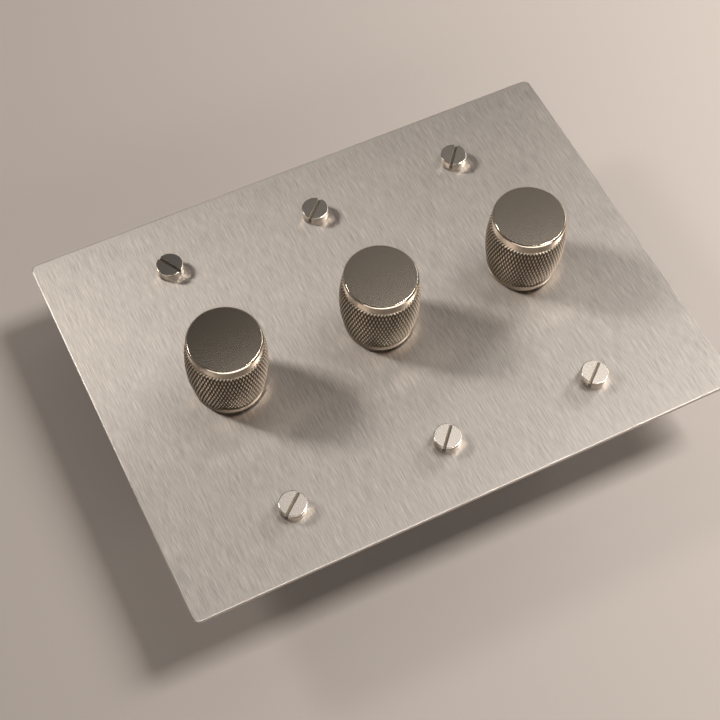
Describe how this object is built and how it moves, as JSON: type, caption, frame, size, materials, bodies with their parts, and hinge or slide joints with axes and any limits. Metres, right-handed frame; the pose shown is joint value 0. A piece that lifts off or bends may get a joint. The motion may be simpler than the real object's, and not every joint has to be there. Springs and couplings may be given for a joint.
{
  "type": "rotary dimmer switch",
  "caption": "Brushed metal wall plate with knurled push-and-turn dimmer knobs, slotted screws and dimmer modules behind.",
  "frame": {"origin": "in the plane of the modules' backs, under the centre of the face plate", "axes": "+X along the plate's long side to the right, +Y up the plate, +Z out of the wall towards the user"},
  "size_m": [0.164, 0.12, 0.0543],
  "materials": {
    "plate_nickel": "brushed along the short side, satin",
    "knob_nickel": "satin, diamond knurled, turned crown",
    "screw_nickel": "satin, turned",
    "strap_aluminium": "plain rolled sheet",
    "housing_plastic": "fine moulded texture",
    "terminal_plastic": "moulded",
    "board_laminate": "green resist on laminate",
    "device_plastic": "moulded black, tinned tab and legs",
    "enamelled_wire": "enamelled copper wire",
    "capacitor_case": "dipped yellow box",
    "control_plastic": "moulded",
    "rotor_nylon": "natural nylon",
    "bush_brass": "turned brass",
    "spindle_metal": "ground rod",
    "insert_nylon": "black nylon",
    "switch_plastic": "moulded",
    "plunger_plastic": "natural acetal",
    "spring_steel": "drawn spring wire",
    "zinc_steel": "zinc plated",
    "earth_green": "green dyed zinc plate",
    "fibre": "red vulcanised fibre"
  },
  "bodies": {
    "root": {"face_plate": "plate_nickel", "face_screws": "screw_nickel", "screw_retainers": "fibre", "bush_washers": "zinc_steel", "bush_nuts": "bush_brass", "case_screws": "zinc_steel", "terminal_screws": "bush_brass", "earth_screws": "earth_green", "mounting_strap_left": "strap_aluminium", "housing_left": "housing_plastic", "terminal_block_left": "terminal_plastic", "circuit_board_left": "board_laminate", "triac_left": "device_plastic", "choke_left": "enamelled_wire", "capacitor_left": "capacitor_case", "control_case_left": "control_plastic", "threaded_bush_left": "bush_brass", "switch_case_left": "switch_plastic", "switch_spring_left": "spring_steel", "mounting_strap_middle": "strap_aluminium", "housing_middle": "housing_plastic", "terminal_block_middle": "terminal_plastic", "circuit_board_middle": "board_laminate", "triac_middle": "device_plastic", "choke_middle": "enamelled_wire", "capacitor_middle": "capacitor_case", "control_case_middle": "control_plastic", "threaded_bush_middle": "bush_brass", "switch_case_middle": "switch_plastic", "switch_spring_middle": "spring_steel", "mounting_strap_right": "strap_aluminium", "housing_right": "housing_plastic", "terminal_block_right": "terminal_plastic", "circuit_board_right": "board_laminate", "triac_right": "device_plastic", "choke_right": "enamelled_wire", "capacitor_right": "capacitor_case", "control_case_right": "control_plastic", "threaded_bush_right": "bush_brass", "switch_case_right": "switch_plastic", "switch_spring_right": "spring_steel"},
    "rotor_left": {"wiper_rotor_left": "rotor_nylon"},
    "dial_left": {"knob_left": "knob_nickel", "knob_insert_left": "insert_nylon", "spindle_left": "spindle_metal"},
    "plunger_left": {"switch_plunger_left": "plunger_plastic"},
    "rotor_middle": {"wiper_rotor_middle": "rotor_nylon"},
    "dial_middle": {"knob_middle": "knob_nickel", "knob_insert_middle": "insert_nylon", "spindle_middle": "spindle_metal"},
    "plunger_middle": {"switch_plunger_middle": "plunger_plastic"},
    "rotor_right": {"wiper_rotor_right": "rotor_nylon"},
    "dial_right": {"knob_right": "knob_nickel", "knob_insert_right": "insert_nylon", "spindle_right": "spindle_metal"},
    "plunger_right": {"switch_plunger_right": "plunger_plastic"}
  },
  "joints": [
    {"name": "turn_left", "type": "hinge", "parent": "root", "child": "rotor_left", "pos_m": [-0.04604, 0, 0.0215], "axis": [0, 0, 1], "range_deg": [-270, 0]},
    {"name": "push_left", "type": "slide", "parent": "rotor_left", "child": "dial_left", "axis": [0, 0, -1], "range_m": [0, 0.0009], "stiffness_N_per_m": 800, "springref_m": -0.003},
    {"name": "click_left", "type": "slide", "parent": "root", "child": "plunger_left", "axis": [0, 0, -1], "range_m": [0, 0.0009], "deforming": ["switch_spring_left"]},
    {"name": "turn_middle", "type": "hinge", "parent": "root", "child": "rotor_middle", "pos_m": [0, 0, 0.0215], "axis": [0, 0, 1], "range_deg": [-270, 0]},
    {"name": "push_middle", "type": "slide", "parent": "rotor_middle", "child": "dial_middle", "axis": [0, 0, -1], "range_m": [0, 0.0009], "stiffness_N_per_m": 800, "springref_m": -0.003},
    {"name": "click_middle", "type": "slide", "parent": "root", "child": "plunger_middle", "axis": [0, 0, -1], "range_m": [0, 0.0009], "deforming": ["switch_spring_middle"]},
    {"name": "turn_right", "type": "hinge", "parent": "root", "child": "rotor_right", "pos_m": [0.04604, 0, 0.0215], "axis": [0, 0, 1], "range_deg": [-270, 0]},
    {"name": "push_right", "type": "slide", "parent": "rotor_right", "child": "dial_right", "axis": [0, 0, -1], "range_m": [0, 0.0009], "stiffness_N_per_m": 800, "springref_m": -0.003},
    {"name": "click_right", "type": "slide", "parent": "root", "child": "plunger_right", "axis": [0, 0, -1], "range_m": [0, 0.0009], "deforming": ["switch_spring_right"]}
  ],
  "couplings": [
    {"joint": "click_left", "follows": "push_left", "ratio": 1},
    {"joint": "click_middle", "follows": "push_middle", "ratio": 1},
    {"joint": "click_right", "follows": "push_right", "ratio": 1}
  ]
}
